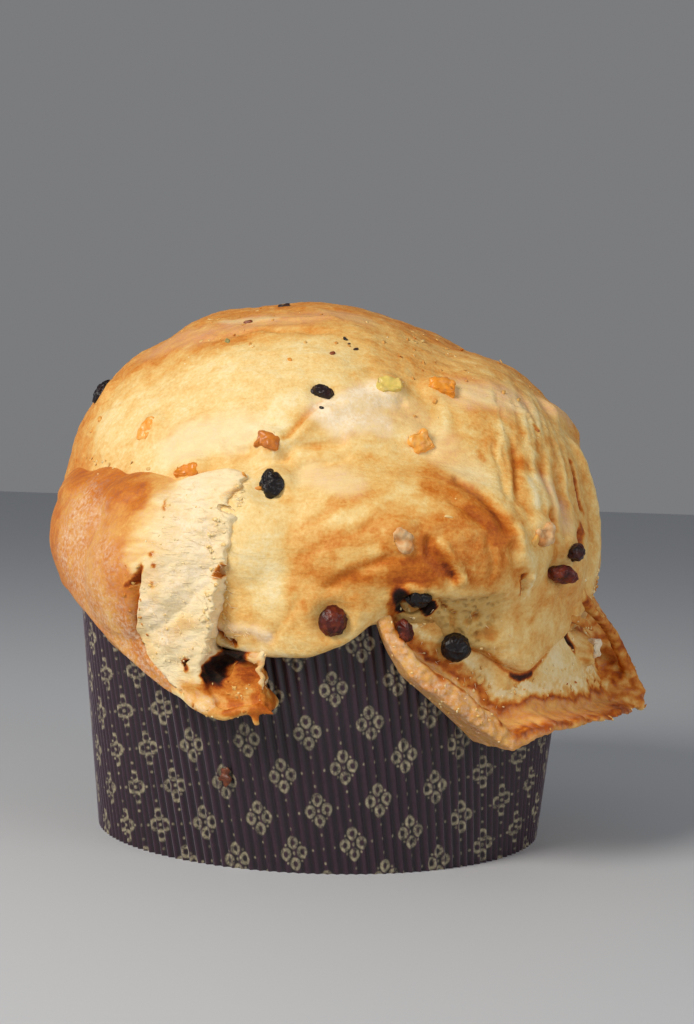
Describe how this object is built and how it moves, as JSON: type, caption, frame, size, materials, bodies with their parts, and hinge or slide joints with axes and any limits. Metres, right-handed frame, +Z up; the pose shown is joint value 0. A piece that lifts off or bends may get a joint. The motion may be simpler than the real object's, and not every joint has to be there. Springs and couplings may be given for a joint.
{
  "type": "panettone",
  "caption": "Tall domed fruit loaf in a dark fluted paper baking case, its crown spilt over the rim in torn, folded flaps set with raisins and peel.",
  "frame": {"origin": "centre of the paper case's base, on the surface that it stands on", "axes": "+Z up; -Y is the front, where the crown has torn open; +X is to the right seen from the front"},
  "size_m": [0.2237, 0.2064, 0.2017],
  "materials": {
    "case_paper": "matt fluted baking paper printed with pale gold rosettes on dark plum",
    "crust": "baked sweet dough, pale yellow to golden brown, dry and slightly flaky",
    "raisin": "dark wrinkled raisin, slightly shiny",
    "peel": "translucent candied peel",
    "nut": "pale chopped nut with a toasted edge"
  },
  "bodies": {
    "root": {"case_wall": "case_paper", "case_base": "case_paper", "loaf": "crust", "raisin_1": "raisin", "raisin_2": "raisin", "raisin_3": "raisin", "raisin_4": "raisin", "raisin_5": "raisin", "raisin_6": "raisin", "raisin_7": "raisin", "raisin_8": "raisin", "raisin_9": "raisin", "peel_1": "peel", "peel_2": "peel", "peel_3": "peel", "peel_4": "peel", "peel_5": "peel", "peel_6": "peel", "nut_1": "nut", "nut_2": "nut", "nut_3": "nut"}
  },
  "joints": []
}
